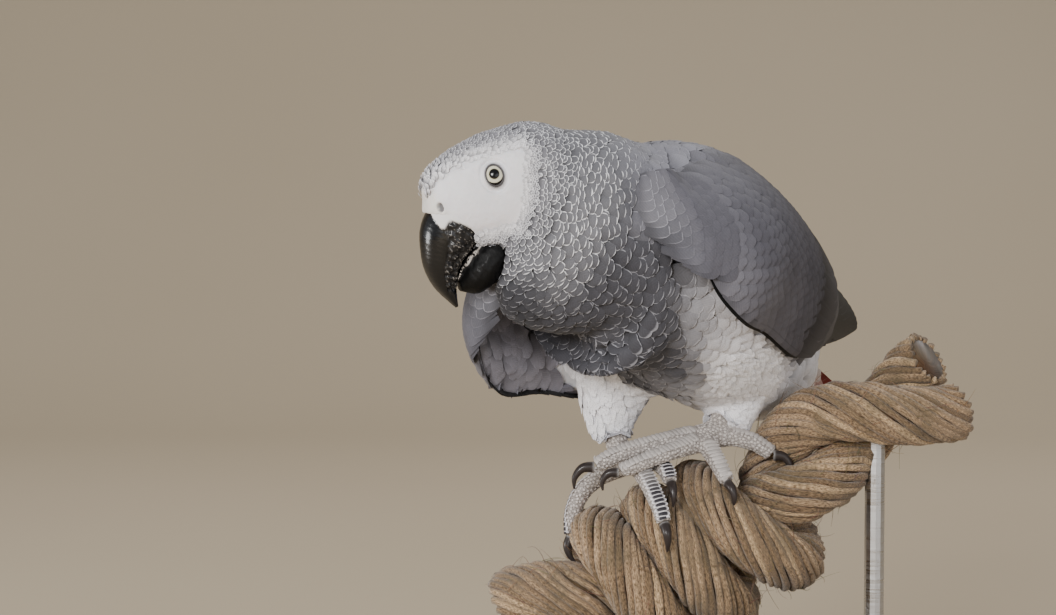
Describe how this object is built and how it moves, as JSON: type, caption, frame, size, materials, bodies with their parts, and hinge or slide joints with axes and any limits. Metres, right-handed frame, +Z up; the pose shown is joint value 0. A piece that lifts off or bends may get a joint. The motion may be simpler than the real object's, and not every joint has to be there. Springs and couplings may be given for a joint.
{
  "type": "grey parrot model",
  "caption": "Life-size still model of a grey parrot leaning forward with its head turned, gripping a knotted rope perch on a flat display stand.",
  "frame": {"origin": "centre of the display stand's underside", "axes": "+Z up, -Y the way the bird's body faces, +X the bird's left side"},
  "size_m": [0.1981, 0.2572, 0.2618],
  "materials": {
    "head_white": "short pale feathers and powdery bare skin",
    "feather_grey": "matte grey feathers with paler edges",
    "wing_grey": "smooth grey wing feathers, darker at the tips",
    "tail_red": "red tail feathers",
    "horn_black": "black horn, glossy on the upper mandible and satin elsewhere",
    "foot_grey": "dry scaly skin",
    "eye": "pale iris round a black pupil, under a clear cornea",
    "rope_tan": "coarse twisted plant fibre",
    "stand_black": "satin black lacquer over wood",
    "rod_steel": "brushed steel rod"
  },
  "bodies": {
    "root": {"bill_lower": "horn_black", "bill_upper": "horn_black", "claw_left_1": "horn_black", "claw_left_2": "horn_black", "claw_left_3": "horn_black", "claw_left_4": "horn_black", "claw_right_1": "horn_black", "claw_right_2": "horn_black", "claw_right_3": "horn_black", "claw_right_4": "horn_black", "eye_left": "eye", "eye_right": "eye", "foot_left": "foot_grey", "foot_right": "foot_grey", "head": "head_white", "neck": "feather_grey", "perch_core": "rope_tan", "perch_knot": "rope_tan", "stand_base": "stand_black", "stand_rod_1": "rod_steel", "stand_rod_2": "rod_steel", "tail": "tail_red", "thigh_left": "feather_grey", "thigh_right": "feather_grey", "trunk": "feather_grey", "wing_left": "wing_grey", "wing_right": "wing_grey"}
  },
  "joints": []
}
